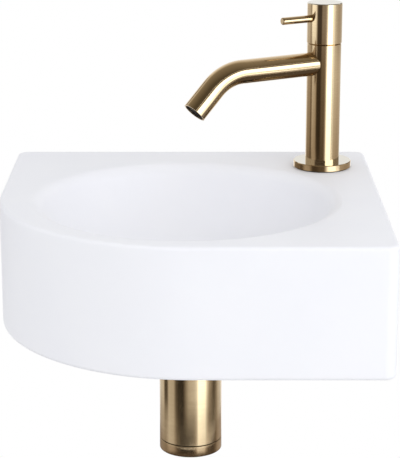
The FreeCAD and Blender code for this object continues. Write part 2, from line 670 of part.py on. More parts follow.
def waste_top_seal():
    outer = WASTE_FLANGE_RADIUS - WASTE_TOP_SEAL_INSET
    return ring(BOWL_AXIS, RECESS_FLOOR, WASTE_FLANGE_LOW, outer, TAIL_RADIUS + THREAD_GAP)


def waste_body():
    """Flanged threaded tail with a spider across its bore that holds the cover's stud."""
    body = turned(BOWL_AXIS, [
        (TAIL_BORE, TAIL_END),
        (TAIL_RADIUS, TAIL_END),
        (TAIL_RADIUS, WASTE_FLANGE_LOW),
        (WASTE_FLANGE_RADIUS, WASTE_FLANGE_LOW),
        (WASTE_FLANGE_RADIUS, WASTE_TOP - EDGE_BREAK),
        (WASTE_FLANGE_RADIUS - EDGE_BREAK, WASTE_TOP),
        (TAIL_BORE + EDGE_BREAK, WASTE_TOP),
        (TAIL_BORE, WASTE_TOP - EDGE_BREAK),
    ])
    pieces = [ring(BOWL_AXIS, SPIDER_LOW, SPIDER_TOP, SPIDER_HUB)]
    for index in range(SPIDER_SPOKES):
        length = (TAIL_BORE + TAIL_RADIUS) / 2
        spoke = Part.makeBox(length, SPIDER_WIDTH, SPIDER_HEIGHT, FreeCAD.Vector(0, -SPIDER_WIDTH / 2, 0))
        spoke.rotate(FreeCAD.Vector(0, 0, 0), UP, 90 + 360 * index / SPIDER_SPOKES)
        spoke.translate(FreeCAD.Vector(BOWL_AXIS[0], BOWL_AXIS[1], SPIDER_LOW))
        pieces.append(spoke)
    body = body.fuse(pieces).removeSplitter()
    return body.cut(ring(BOWL_AXIS, SPIDER_LOW, SPIDER_TOP, STUD_RADIUS + THREAD_GAP))


def waste_cover():
    """Low domed lid on a short stem, which stands clear of the flange so that water runs in all round."""
    edge_top = COVER_LOW + COVER_EDGE
    crown = edge_top + COVER_CROWN
    dome_radius = (COVER_RADIUS ** 2 + COVER_CROWN ** 2) / (2 * COVER_CROWN)
    half = COVER_RADIUS / 2
    half_rise = crown - dome_radius + math.sqrt(dome_radius ** 2 - half ** 2)
    lid = turned(BOWL_AXIS, [
        (0, SPIDER_TOP),
        (SPIDER_HUB, SPIDER_TOP),
        (SPIDER_HUB, COVER_LOW),
        (COVER_RADIUS - EDGE_BREAK, COVER_LOW),
        (COVER_RADIUS, COVER_LOW + EDGE_BREAK),
        (COVER_RADIUS, edge_top),
        ((half, half_rise), (0, crown)),
    ])
    return lid.cut(ring(BOWL_AXIS, SPIDER_TOP, SPIDER_TOP + STUD_IN_COVER, STUD_RADIUS + THREAD_GAP))


def waste_cover_stud():
    return ring(BOWL_AXIS, SPIDER_LOW, SPIDER_TOP + STUD_IN_COVER, STUD_RADIUS)


def waste_under_seal():
    bore = TAIL_RADIUS + THREAD_GAP
    return turned(BOWL_AXIS, [
        (bore, WASTE_NUT_TOP),
        (WASTE_UNDER_SEAL_RADIUS - WASTE_UNDER_SEAL_TAPER, WASTE_NUT_TOP),
        (WASTE_UNDER_SEAL_RADIUS, BOSS_BOTTOM),
        (bore, BOSS_BOTTOM),
    ])


def waste_backnut():
    return hex_nut(BOWL_AXIS, WASTE_NUT_LOW, WASTE_NUT_TOP, WASTE_NUT_FLATS, TAIL_RADIUS + THREAD_GAP)


def trap_inlet_seal():
    return ring(BOWL_AXIS, COLLAR_TOP, TAIL_END, COLLAR_RADIUS, TUBE_RADIUS)


def trap_inlet_nut():
    """Union nut: screwed on the waste tail, with a lip under the collar of the dip tube."""
    thread = TAIL_RADIUS + THREAD_GAP
    outer = thread + UNION_WALL
    top = TAIL_END + UNION_OVERLAP
    return turned(BOWL_AXIS, [
        (TUBE_RADIUS + TUBE_GAP, UNION_LOW),
        (outer - EDGE_BREAK, UNION_LOW),
        (outer, UNION_LOW + EDGE_BREAK),
        (outer, top - EDGE_BREAK),
        (outer - EDGE_BREAK, top),
        (thread, top),
        (thread, COLLAR_LOW),
        (TUBE_RADIUS + TUBE_GAP, COLLAR_LOW),
    ])


def trap_inlet_tube():
    """Dip tube, flared to a collar at its top and ending under the water in the cap."""
    bore = TUBE_RADIUS - TUBE_WALL
    low = CAP_LOW + CAP_FLOOR + DIP_ABOVE_FLOOR
    return turned(BOWL_AXIS, [
        (bore, low),
        (TUBE_RADIUS, low),
        (TUBE_RADIUS, COLLAR_LOW),
        (COLLAR_RADIUS, COLLAR_LOW),
        (COLLAR_RADIUS, COLLAR_TOP),
        (bore, COLLAR_TOP),
    ])


def compression_nut(seat):
    """Nut of a slip joint, built upright: its thread covers a neck that ends at the seat level."""
    thread = NECK_RADIUS + THREAD_GAP
    outer = thread + NECK_NUT_WALL
    low = seat - NECK_HEIGHT + NUT_STANDOFF
    lip = seat + NECK_SEAL_THICKNESS
    top = lip + NECK_NUT_LIP
    return turned((0, 0), [
        (thread, low),
        (outer - EDGE_BREAK, low),
        (outer, low + EDGE_BREAK),
        (outer, top - EDGE_BREAK),
        (outer - EDGE_BREAK, top),
        (TUBE_RADIUS + TUBE_GAP, top),
        (TUBE_RADIUS + TUBE_GAP, lip),
        (thread, lip),
    ])


def compression_seal(seat):
    """Rubber ring between a neck and the lip of its nut, close round the tube."""
    return ring((0, 0), seat, seat + NECK_SEAL_THICKNESS, NECK_RADIUS, TUBE_RADIUS + THREAD_GAP)


def on_bottle(piece):
    piece.translate(FreeCAD.Vector(BOWL_AXIS[0], BOWL_AXIS[1], 0))
    return piece


def on_outlet(piece):
    """Turn a piece from upright to the outlet, which runs level towards the wall."""
    place = FreeCAD.Vector(BOWL_AXIS[0], 0, OUTLET_LEVEL)
    piece.Placement = FreeCAD.Placement(place, FreeCAD.Rotation(UP, TO_WALL))
    return piece


def trap_neck_nut():
    return on_bottle(compression_nut(SHOULDER + NECK_HEIGHT))


def trap_neck_seal():
    return on_bottle(compression_seal(SHOULDER + NECK_HEIGHT))


def trap_bottle():
    """Turned bottle with a threaded neck on top, and a like neck on its side for the outlet."""
    neck_top = SHOULDER + NECK_HEIGHT
    neck_bore = TUBE_RADIUS + TUBE_GAP
    bevel = SHOULDER_ROUND * (1 - math.sqrt(0.5))
    bottle = turned(BOWL_AXIS, [
        (neck_bore, SHOULDER - BOTTLE_SHOULDER),
        (BOTTLE_BORE, SHOULDER - BOTTLE_SHOULDER),
        (BOTTLE_BORE, BOTTLE_LOW),
        (BOTTLE_RADIUS - EDGE_BREAK, BOTTLE_LOW),
        (BOTTLE_RADIUS, BOTTLE_LOW + EDGE_BREAK),
        (BOTTLE_RADIUS, SHOULDER - SHOULDER_ROUND),
        ((BOTTLE_RADIUS - bevel, SHOULDER - bevel), (BOTTLE_RADIUS - SHOULDER_ROUND, SHOULDER)),
        (NECK_RADIUS, SHOULDER),
        (NECK_RADIUS, neck_top),
        (neck_bore, neck_top),
    ])
    inside = ring(BOWL_AXIS, BOTTLE_LOW, SHOULDER, BOTTLE_BORE)
    seat = OUTLET_SEAT + NECK_HEIGHT
    boss = on_outlet(ring((0, 0), BOWL_AXIS[1], seat, NECK_RADIUS)).cut(inside)
    stop = BOWL_AXIS[1] + BOTTLE_RADIUS
    passage = on_outlet(ring((0, 0), BOWL_AXIS[1], stop, TUBE_RADIUS - TUBE_WALL))
    socket = on_outlet(ring((0, 0), stop, seat, neck_bore))
    return bottle.fuse(boss).cut([passage, socket]).removeSplitter()


def trap_cap():
    """Clean-out cap: a shallow cup with a thread that goes up into the bottle and a ring groove."""
    thread_bore = CAP_THREAD_RADIUS - CAP_THREAD_WALL
    groove = CAP_THREAD_RADIUS - CAP_GROOVE_DEPTH
    groove_top = CAP_TOP + ring_section() + 2 * RING_SIDE_GAP
    bevel = CAP_EDGE_ROUND * (1 - math.sqrt(0.5))
    return turned(BOWL_AXIS, [
        (0, CAP_LOW),
        (BOTTLE_RADIUS - CAP_EDGE_ROUND, CAP_LOW),
        ((BOTTLE_RADIUS - bevel, CAP_LOW + bevel), (BOTTLE_RADIUS, CAP_LOW + CAP_EDGE_ROUND)),
        (BOTTLE_RADIUS, CAP_TOP - EDGE_BREAK),
        (BOTTLE_RADIUS - EDGE_BREAK, CAP_TOP),
        (groove, CAP_TOP),
        (groove, groove_top),
        (CAP_THREAD_RADIUS, groove_top),
        (CAP_THREAD_RADIUS, CAP_TOP + CAP_THREAD_LENGTH),
        (thread_bore, CAP_TOP + CAP_THREAD_LENGTH),
        (thread_bore, CAP_LOW + CAP_FLOOR),
        (0, CAP_LOW + CAP_FLOOR),
    ])


def ring_section():
    """Thickness of the round sealing ring, which lies between the groove and the bottle's bore."""
    return CAP_GROOVE_DEPTH + MOVING_GAP - 2 * RING_SIDE_GAP


def trap_cap_seal():
    section = ring_section() / 2
    middle = BOTTLE_BORE - RING_SIDE_GAP - section
    place = FreeCAD.Vector(BOWL_AXIS[0], BOWL_AXIS[1], CAP_TOP + RING_SIDE_GAP + section)
    return Part.makeTorus(middle, section, place, UP)


def trap_outlet_nut():
    return on_outlet(compression_nut(OUTLET_SEAT + NECK_HEIGHT))


def trap_outlet_seal():
    return on_outlet(compression_seal(OUTLET_SEAT + NECK_HEIGHT))


def trap_outlet_pipe():
    """Level pipe from the bottle into the wall, with a stop groove just behind the wall's face."""
    start = BOWL_AXIS[1] + BOTTLE_RADIUS
    pipe = ring((0, 0), start, OUTLET_PAST_WALL, TUBE_RADIUS, TUBE_RADIUS - TUBE_WALL)
    groove = ring((0, 0), 0, OUTLET_STOP_WIDTH, TUBE_RADIUS + TUBE_GAP, TUBE_RADIUS - OUTLET_STOP_DEPTH)
    return on_outlet(pipe.cut(groove))


def trap_wall_rosette():
    """Spun cover plate on the wall, a hollow cone with a short collar round the pipe."""
    bore = TUBE_RADIUS + TUBE_GAP
    collar = bore + ROSETTE_SHEET
    return on_outlet(turned((0, 0), [
        (ROSETTE_RADIUS, 0),
        (ROSETTE_RADIUS - ROSETTE_SHEET, 0),
        (collar, -ROSETTE_DEPTH + 2 * ROSETTE_SHEET),
        (collar, -ROSETTE_SHEET),
        (bore, -ROSETTE_SHEET),
        (bore, -ROSETTE_DEPTH),
        (collar, -ROSETTE_DEPTH),
        (ROSETTE_RADIUS, -ROSETTE_SHEET),
    ]))


PIECES = (
    basin,
    wall_sleeves,
    tap_base_seal,
    tap_flange,
    tap_column,
    tap_spout,
    aerator_body,
    aerator_screen,
    aerator_seal,
    headpart_seat_seal,
    headpart_body,
    headpart_fixed_disc,
    headpart_moving_disc,
    headpart_spindle,
    handle_cap,
    lever_pin,
    handle_grub_screw,
    tap_shank,
    shank_rubber_washer,
    shank_metal_washer,
    shank_backnut,
    waste_top_seal,
    waste_body,
    waste_cover,
    waste_cover_stud,
    waste_under_seal,
    waste_backnut,
    trap_inlet_seal,
    trap_inlet_nut,
    trap_inlet_tube,
    trap_neck_nut,
    trap_neck_seal,
    trap_bottle,
    trap_cap,
    trap_cap_seal,
    trap_outlet_nut,
    trap_outlet_seal,
    trap_outlet_pipe,
    trap_wall_rosette,
)

os.makedirs("parts", exist_ok=True)
for piece in PIECES:
    shape = piece()
    print(piece.__name__, len(shape.Solids), shape.isValid(), round(shape.Volume))
    shape.exportStep("parts/" + piece.__name__ + ".step")
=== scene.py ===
import math

import bmesh
import bpy
from mathutils import Matrix, Vector


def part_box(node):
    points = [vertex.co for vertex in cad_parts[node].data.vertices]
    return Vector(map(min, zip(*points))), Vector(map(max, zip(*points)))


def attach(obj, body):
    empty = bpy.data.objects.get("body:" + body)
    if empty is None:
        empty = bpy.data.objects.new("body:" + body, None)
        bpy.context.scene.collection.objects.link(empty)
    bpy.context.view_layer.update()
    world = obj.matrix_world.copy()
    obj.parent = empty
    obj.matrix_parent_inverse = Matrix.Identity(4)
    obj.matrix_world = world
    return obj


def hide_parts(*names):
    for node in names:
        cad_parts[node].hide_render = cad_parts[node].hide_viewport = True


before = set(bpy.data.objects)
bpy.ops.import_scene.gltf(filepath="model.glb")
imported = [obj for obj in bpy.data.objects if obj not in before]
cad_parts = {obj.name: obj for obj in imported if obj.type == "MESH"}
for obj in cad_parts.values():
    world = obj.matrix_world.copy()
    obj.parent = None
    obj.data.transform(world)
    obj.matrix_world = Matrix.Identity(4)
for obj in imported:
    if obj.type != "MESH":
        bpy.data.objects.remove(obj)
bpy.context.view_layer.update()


# The basin: one hollow casting of vitreous china, slip cast in a plaster mould and fired once.
# A silky white glaze covers the rim, the bowl and the outer walls. The foot, the hollow and the
# back, which is ground flat for the wall, stay bare.
basin_low, basin_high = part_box("basin")
waste_low, waste_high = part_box("waste_body")
drain = Vector(((waste_low.x + waste_high.x) / 2, (waste_low.y + waste_high.y) / 2, 0))
CORNER_RADIUS = 0.152
SMALL_CORNER = 0.009
WALL = 0.012
BOWL_REACH = 0.126
BOWL_FLOOR = 0.050
BOWL_SIDE = 0.110
MOUTH_RADIUS = 0.1255
RECESS_REACH = 0.0355
RECESS_DEPTH = 0.004
SOLID_EDGE = 0.006
FOOT_EDGE = 0.0045
FOOT_TOP = -0.036
GROUND_BACK = 0.0006
NEAR = 0.0001

# where the casting departs from the plain solid that it stands for
MOUTH_DRAWN_IN = 0.00325
MOUTH_MOVED = Vector((-0.0035, -0.0042, 0))
CRISP_EDGE = 0.003
FOOT_LIFT = 0.0015
FOOT_BLEND = 0.0075

# limits on how far a face looks up, from minus one for an underside to one for a level top
FACES_UP = 0.05
STEEP = 0.3
OVERHANGS = -0.15

GLAZE_WHITE = (0.885, 0.893, 0.934, 1)
GLAZE_THICK = (0.868, 0.878, 0.926, 1)
GLAZE_ROUGHNESS = (0.46, 0.52)
GLAZE_RIPPLE = (0.0, 0.06)
GLAZE_GLOSS = 0.22
BARE_CHINA = (0.80, 0.775, 0.725, 1)
BARE_CHINA_DARK = (0.70, 0.67, 0.61, 1)
BARE_ROUGHER = 0.45
CLOUD_NOISE = (0.3, 0.7)
GRAIN_NOISE = (0.25, 0.75)


def put(tree, kind, settings=(), sockets=()):
    """Places a shader node with its settings, and puts values or other outputs on its sockets."""
    made = tree.nodes.new(kind)
    for name, value in dict(settings).items():
        setattr(made, name, value)
    for name, value in dict(sockets).items():
        if isinstance(value, bpy.types.NodeSocket):
            tree.links.new(value, made.inputs[name])
        else:
            made.inputs[name].default_value = value
    return made


def reckon(tree, operation, first, second=0.0, third=0.0):
    sockets = {0: first, 1: second, 2: third}
    return put(tree, "ShaderNodeMath", {"operation": operation}, sockets).outputs[0]


def below(tree, value, limit):
    return reckon(tree, "LESS_THAN", value, limit)


def above(tree, value, limit):
    return reckon(tree, "GREATER_THAN", value, limit)


def all_of(tree, mask, *others):
    for other in others:
        mask = reckon(tree, "MULTIPLY", mask, other)
    return mask


def any_of(tree, mask, *others):
    for other in others:
        mask = reckon(tree, "MAXIMUM", mask, other)
    return mask


def reckon_vector(tree, operation, first, second):
    sockets = {0: first, 1: second}
    return put(tree, "ShaderNodeVectorMath", {"operation": operation}, sockets).outputs[0]


def level_length(tree, vector):
    """The length of a vector as seen from above."""
    level = reckon_vector(tree, "MULTIPLY", vector, (1, 1, 0))
    return put(tree, "ShaderNodeVectorMath", {"operation": "LENGTH"}, {0: level}).outputs["Value"]


def split(tree, vector):
    return put(tree, "ShaderNodeSeparateXYZ", (), {0: vector}).outputs


def place_on(tree):
    """The place on a piece, in metres from its own origin."""
    return put(tree, "ShaderNodeTexCoord").outputs["Object"]


def upward(tree):
    """How far a face looks up, from minus one for an underside to one for a level top."""
    return split(tree, put(tree, "ShaderNodeNewGeometry").outputs["Normal"])[2]


def spread(tree, value, span, new_span=(0.0, 1.0)):
    """Carries a value over from one span to another, and stops it at the ends."""
    return put(tree, "ShaderNodeMapRange", (), {
        "Value": value, "From Min": span[0], "From Max": span[1],
        "To Min": new_span[0], "To Max": new_span[1]}).outputs["Result"]


def between(tree, share, limits):
    return spread(tree, share, (0.0, 1.0), limits)


def tint(tree, share, first, second):
    sockets = {0: share, 6: first, 7: second}
    return put(tree, "ShaderNodeMix", {"data_type": "RGBA"}, sockets).outputs[2]


def noise(tree, place, size, detail, roughness):
    return put(tree, "ShaderNodeTexNoise", (), {
        "Vector": place, "Scale": size, "Detail": detail, "Roughness": roughness}).outputs[0]


def new_group(name, inputs, output):
    """Starts a node group, and gives its tree, what comes in and where its result goes out."""
    group = bpy.data.node_groups.new(name, "ShaderNodeTree")
    for socket, kind in inputs:
        group.interface.new_socket(socket, in_out="INPUT", socket_type="NodeSocket" + kind)
    group.interface.new_socket(output, in_out="OUTPUT", socket_type="NodeSocketFloat")
    comes_in = group.nodes.new("NodeGroupInput").outputs
    goes_out = group.nodes.new("NodeGroupOutput").inputs[0]
    return group, comes_in, goes_out


def use_group(tree, group, sockets):
    return put(tree, "ShaderNodeGroup", {"node_tree": group}, sockets).outputs[0]


def new_finish(name):
    material = bpy.data.materials.new(name)
    material.use_nodes = True
    return material, material.node_tree, material.node_tree.nodes["Principled BSDF"]


def dress(tree, skin, colour, roughness):
    tree.links.new(colour, skin.inputs["Base Color"])
    tree.links.new(roughness, skin.inputs["Roughness"])


def relief(tree, skin, height, strength, depth):
    bump = put(tree, "ShaderNodeBump", (),
               {"Strength": strength, "Distance": depth, "Height": height})
    tree.links.new(bump.outputs["Normal"], skin.inputs["Normal"])


def coat(material, *nodes):
    for node in nodes:
        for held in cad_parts[node].material_slots:
            held.material = material


# soft clouds: broad uneven patches, as glaze, polish and moulding leave them
soft_clouds, clouds_in, clouds_out = new_group(
    "soft clouds", [("Size", "Float"), ("Least", "Float"), ("Most", "Float")], "Clouds")
patches = noise(
    soft_clouds, place_on(soft_clouds), clouds_in["Size"], detail=3.0, roughness=0.55)
patches = spread(soft_clouds, patches, CLOUD_NOISE, (clouds_in["Least"], clouds_in["Most"]))
soft_clouds.links.new(patches, clouds_out)


def clouds(tree, size, limits=(0.0, 1.0)):
    sockets = {"Size": size, "Least": limits[0], "Most": limits[1]}
    return use_group(tree, soft_clouds, sockets)


# fine grain: the even pitting of bare china, moulded rubber and moulded nylon
fine_grain, grain_in, grain_out = new_group("fine grain", [("Size", "Float")], "Grain")
pits = noise(fine_grain, place_on(fine_grain), grain_in["Size"], detail=4.0, roughness=0.7)
fine_grain.links.new(spread(fine_grain, pits, GRAIN_NOISE), grain_out)


def grain(tree, size):
    return use_group(tree, fine_grain, {"Size": size})


glaze, tree, skin = new_finish("white glaze")
place = place_on(tree)
across, along, up = split(tree, place)
facing_up = upward(tree)
corner = Vector((basin_low.x + CORNER_RADIUS, basin_low.y + CORNER_RADIUS, 0))
past_corner = reckon_vector(tree, "SUBTRACT", place, corner)
from_corner = level_length(tree, reckon_vector(tree, "MINIMUM", past_corner, (0, 0, 0)))
from_drain = level_length(tree, reckon_vector(tree, "SUBTRACT", place, drain))
inside = all_of(
    tree,
    below(tree, from_corner, CORNER_RADIUS - FOOT_EDGE),
    below(tree, across, basin_high.x - FOOT_EDGE),
    below(tree, up, basin_high.z - WALL))
under_bowl = all_of(
    tree,
    below(tree, up, waste_high.z - RECESS_DEPTH),
    above(tree, from_drain, RECESS_REACH))
in_hollow = any_of(tree, under_bowl, above(tree, from_drain, BOWL_REACH))
hollow_wall = all_of(tree, in_hollow, below(tree, facing_up, STEEP))
unglazed = any_of(tree, hollow_wall, below(tree, facing_up, OVERHANGS))
ground = above(tree, along, basin_high.y - GROUND_BACK)
bare = any_of(tree, all_of(tree, unglazed, inside), ground)
pitting = grain(tree, size=900.0)
glaze_colour = tint(tree, clouds(tree, size=16.0), GLAZE_WHITE, GLAZE_THICK)
china_colour = tint(tree, pitting, BARE_CHINA, BARE_CHINA_DARK)
glaze_roughness = clouds(tree, size=40.0, limits=GLAZE_ROUGHNESS)
roughness = reckon(tree, "MULTIPLY_ADD", bare, BARE_ROUGHER, glaze_roughness)
dress(tree, skin, tint(tree, bare, glaze_colour, china_colour), roughness)
ripple = clouds(tree, size=55.0, limits=GLAZE_RIPPLE)
height = reckon(tree, "MULTIPLY_ADD", bare, pitting, ripple)
relief(tree, skin, height, strength=0.35, depth=0.0004)
skin.inputs["Specular IOR Level"].default_value = GLAZE_GLOSS
coat(glaze, "basin")


def inside_wall(point):
    """How far a point lies inside the outer wall, and the level way inward from there."""
    for right, back in ((-1, -1), (1, -1), (-1, 1), (1, 1)):
        radius = CORNER_RADIUS if right + back < 0 else SMALL_CORNER
        centre_x = basin_high.x - radius if right > 0 else basin_low.x + radius
        centre_y = basin_high.y - radius if back > 0 else basin_low.y + radius
        away = Vector((point.x - centre_x, point.y - centre_y, 0))
        if away.x * right > 0 and away.y * back > 0:
            return radius - away.length, -away.normalized()
    sides = [
        (point.x - basin_low.x, Vector((1, 0, 0))), (basin_high.x - point.x, Vector((-1, 0, 0))),
        (point.y - basin_low.y, Vector((0, 1, 0))), (basin_high.y - point.y, Vector((0, -1, 0)))]
    return min(sides, key=lambda side: side[0])


def as_cast(point, faces_up):
    """Where a point of the plain solid lies on the finished casting.

    The casting's bowl has a smaller mouth nearer the front left, its top edge is crisper and
    its foot ends higher.
    """
    spot = point.copy()
    out = Vector((point.x - drain.x, point.y - drain.y, 0))
    if faces_up and BOWL_FLOOR < out.length < MOUTH_RADIUS + NEAR:
        share = min(1.0, (out.length - BOWL_FLOOR) / (BOWL_SIDE - BOWL_FLOOR))
        share = share * share * (3 - 2 * share)
        spot += share * (MOUTH_MOVED - out.normalized() * MOUTH_DRAWN_IN)
    depth = basin_high.z - point.z
    inset, inward = inside_wall(point)
    if max(depth, inset) < SOLID_EDGE + NEAR:
        tightened = 1 - CRISP_EDGE / SOLID_EDGE
        spot.z += depth * tightened
        spot -= inward * inset * tightened
    spot.z += FOOT_LIFT * min(1.0, max(0.0, (FOOT_TOP - point.z) / FOOT_BLEND))
    return spot


casting_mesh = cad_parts["basin"].data.copy()
casting_mesh.name = "basin_casting"
surface_normals = [normal.vector.copy() for normal in casting_mesh.corner_normals]
casting_points = [
    as_cast(vertex.co, vertex.normal.z > FACES_UP) for vertex in casting_mesh.vertices]
for vertex, point in zip(casting_mesh.vertices, casting_points):
    vertex.co = point
casting_mesh.normals_split_custom_set(surface_normals)
casting = bpy.data.objects.new("basin_casting", casting_mesh)
bpy.context.scene.collection.objects.link(casting)
casting.visible_glossy = False
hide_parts("basin")
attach(casting, "basin_body")


# The wall sleeves: two collared bushes pressed into the bolt holes, so that steel doesn't bear on
# the china. They are moulded in white nylon, which has a soft sheen and a faint grain from the
# tool.
NYLON_SHADE = (0.80, 0.80, 0.775, 1)
NYLON_WHITE = (0.86, 0.86, 0.84, 1)
NYLON_ROUGHNESS = (0.38, 0.52)
nylon, tree, skin = new_finish("white nylon")
pitting = grain(tree, size=1400.0)
dress(tree, skin, tint(tree, pitting, NYLON_SHADE, NYLON_WHITE),
      clouds(tree, size=150.0, limits=NYLON_ROUGHNESS))
relief(tree, skin, pitting, strength=0.2, depth=0.0001)
coat(nylon, "wall_sleeves")


# The seals: the flat rings under the tap and the waste, the tapered rings in the trap's nuts and
# the small rings in the tap. They are moulded or stamped from black rubber, matt, with a grey
# bloom here and there.
RUBBER_BLACK = (0.018, 0.018, 0.019, 1)
RUBBER_BLOOM = (0.055, 0.054, 0.053, 1)
BLOOM_SHARE = (0.0, 0.6)
RUBBER_ROUGHNESS = 0.62
RUBBER_ROUGHER = 0.15
rubber, tree, skin = new_finish("black rubber")
pitting = grain(tree, size=2600.0)
bloom = clouds(tree, size=120.0, limits=BLOOM_SHARE)
dress(tree, skin, tint(tree, bloom, RUBBER_BLACK, RUBBER_BLOOM),
      reckon(tree, "MULTIPLY_ADD", pitting, RUBBER_ROUGHER, RUBBER_ROUGHNESS))
relief(tree, skin, pitting, strength=0.35, depth=0.00008)
coat(rubber, "tap_base_seal", "aerator_seal", "headpart_seat_seal", "shank_rubber_washer",
     "waste_top_seal", "waste_under_seal", "trap_inlet_seal", "trap_neck_seal", "trap_cap_seal",
     "trap_outlet_seal")


# The tap's shank and its back nut: brass bar turned and threaded on a lathe, left uncoated under
# the basin. A half inch pipe thread takes the nut, and a three eighths thread at the foot takes
# the supply hose.
shank_low, shank_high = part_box("tap_shank")
tap = Vector(((shank_low.x + shank_high.x) / 2, (shank_low.y + shank_high.y) / 2, 0))
SHANK_RADIUS = 0.01048
SHANK_BORE = 0.006
INLET_RADIUS = 0.00833
INLET_LENGTH = 0.014
HALF_INCH_PITCH = 0.001814
HALF_INCH_DEPTH = 0.00116
THREE_EIGHTHS_PITCH = 0.001337
THREE_EIGHTHS_DEPTH = 0.00086
SHOULDER_DEPTH = 0.0012
SHOULDER_HEIGHT = 0.0004
ROWS_PER_TURN = 8
SHARP_ANGLE = math.radians(38)
UPRIGHT = (0, 0, 1)
BRASS = (0.74, 0.53, 0.22, 1)
BRASS_LINE = (0.66, 0.455, 0.175, 1)
BRASS_DULL = (0.50, 0.345, 0.145, 1)
DULL_SHARE = (0.0, 0.7)
BRASS_ROUGHNESS = (0.26, 0.38)
LINE_NOISE = (0.28, 0.72)
LINE_DRIFT = 45.0

# brush marks: fine lines round an axis, as a lathe tool or a brushing belt leaves them
brush_marks, marks_in, marks_out = new_group(
    "brush marks", [("Axis", "Vector"), ("Fineness", "Float")], "Marks")
marks_place = place_on(brush_marks)
marks_along = put(brush_marks, "ShaderNodeVectorMath", {"operation": "DOT_PRODUCT"},
                  {0: marks_place, 1: marks_in["Axis"]}).outputs["Value"]
marks_along = reckon(brush_marks, "MULTIPLY", marks_along, marks_in["Fineness"])
marks_axis = put(brush_marks, "ShaderNodeVectorMath", {"operation": "SCALE"},
                 {0: marks_in["Axis"], "Scale": marks_along}).outputs[0]
marks_drift = put(brush_marks, "ShaderNodeVectorMath", {"operation": "SCALE"},
                  {0: marks_place, "Scale": LINE_DRIFT}).outputs[0]
lines = noise(brush_marks, reckon_vector(brush_marks, "ADD", marks_axis, marks_drift),
              size=1.0, detail=3.0, roughness=0.65)
brush_marks.links.new(spread(brush_marks, lines, LINE_NOISE), marks_out)


def brushing(tree, axis, fineness):
    return use_group(tree, brush_marks, {"Axis": axis, "Fineness": fineness})


def thread_rows(radius, start, end, pitch, depth):
    """Outline rows of a threaded stretch: radius, height, and the thread's pitch and depth there.

    The thread runs out over a turn at both ends.
    """
    rows = []
    count = round(abs(end - start) / pitch * ROWS_PER_TURN)
    for row in range(count + 1):
        height = start + (end - start) * row / count
        run_out = min(1, abs(height - start) / pitch, abs(height - end) / pitch)
        rows.append((radius - depth * 0.5 * (1 - run_out), height, pitch, depth * run_out))
    return rows


def turned_piece(name, axis, outline, material, around=96):
    """A lathe-turned mesh round an upright axis, closed from its last row to its first.

    A row of four numbers also carries a thread's pitch and depth.
    """
    points, faces, rings = [], [], []
    for row in outline:
        radius, height = row[0], row[1]
        if radius == 0:
            rings.append([len(points)] * around)
            points.append((axis.x, axis.y, height))
            continue
        rings.append(list(range(len(points), len(points) + around)))
        for step in range(around):
            turn = step / around
            reach = radius
            if len(row) == 4:
                wave = 0.5 + 0.5 * math.cos(2 * math.pi * (height / row[2] - turn))
                reach = radius - row[3] * wave
            angle = 2 * math.pi * turn
            points.append((
                axis.x + reach * math.cos(angle), axis.y + reach * math.sin(angle), height))
    for one, two in zip(rings, rings[1:] + rings[:1]):
        for step in range(around):
            after = (step + 1) % around
            face = list(dict.fromkeys([one[step], one[after], two[after], two[step]]))
            if len(face) > 2:
                faces.append(face)
    mesh = bpy.data.meshes.new(name)
    mesh.from_pydata(points, [], faces)
    mesh.polygons.foreach_set("use_smooth", [True] * len(mesh.polygons))
    mesh.set_sharp_from_angle(angle=SHARP_ANGLE)
    mesh.materials.append(material)
    piece = bpy.data.objects.new(name, mesh)
    bpy.context.scene.collection.objects.link(piece)
    return piece


plain_brass, tree, skin = new_finish("turned brass")
marks = brushing(tree, UPRIGHT, fineness=5200.0)
dulled = clouds(tree, size=70.0, limits=DULL_SHARE)
brass_colour = tint(tree, marks, BRASS, BRASS_LINE)
dress(tree, skin, tint(tree, dulled, brass_colour, BRASS_DULL),
      between(tree, marks, BRASS_ROUGHNESS))
relief(tree, skin, marks, strength=0.25, depth=0.00004)
skin.inputs["Metallic"].default_value = 1.0
coat(plain_brass, "shank_backnut", "headpart_body", "headpart_spindle", "waste_backnut",
     "trap_inlet_tube")

inlet_top = shank_low.z + INLET_LENGTH
shank = turned_piece("tap_shank_threaded", tap, [
    (SHANK_BORE, shank_low.z),
    *thread_rows(INLET_RADIUS, shank_low.z, inlet_top, THREE_EIGHTHS_PITCH, THREE_EIGHTHS_DEPTH),
    (SHANK_RADIUS - SHOULDER_DEPTH, inlet_top),
    *thread_rows(SHANK_RADIUS, inlet_top + SHOULDER_HEIGHT, shank_high.z, HALF_INCH_PITCH,
                 HALF_INCH_DEPTH),
    (SHANK_BORE, shank_high.z),
], plain_brass)
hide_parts("tap_shank")
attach(shank, "basin_body")


# The small steel parts: the washer over the tap's rubber washer, the stud that holds the waste
# cover and the grub screw in the handle. They are turned or stamped from stainless steel and keep
# their fine tool lines.
STEEL = (0.62, 0.62, 0.615, 1)
STEEL_LINE = (0.50, 0.50, 0.50, 1)
STEEL_ROUGHNESS = (0.24, 0.36)
steel, tree, skin = new_finish("stainless steel")
marks = brushing(tree, UPRIGHT, fineness=4200.0)
dress(tree, skin, tint(tree, marks, STEEL, STEEL_LINE), between(tree, marks, STEEL_ROUGHNESS))
skin.inputs["Metallic"].default_value = 1.0
coat(steel, "shank_metal_washer", "waste_cover_stud", "handle_grub_screw")


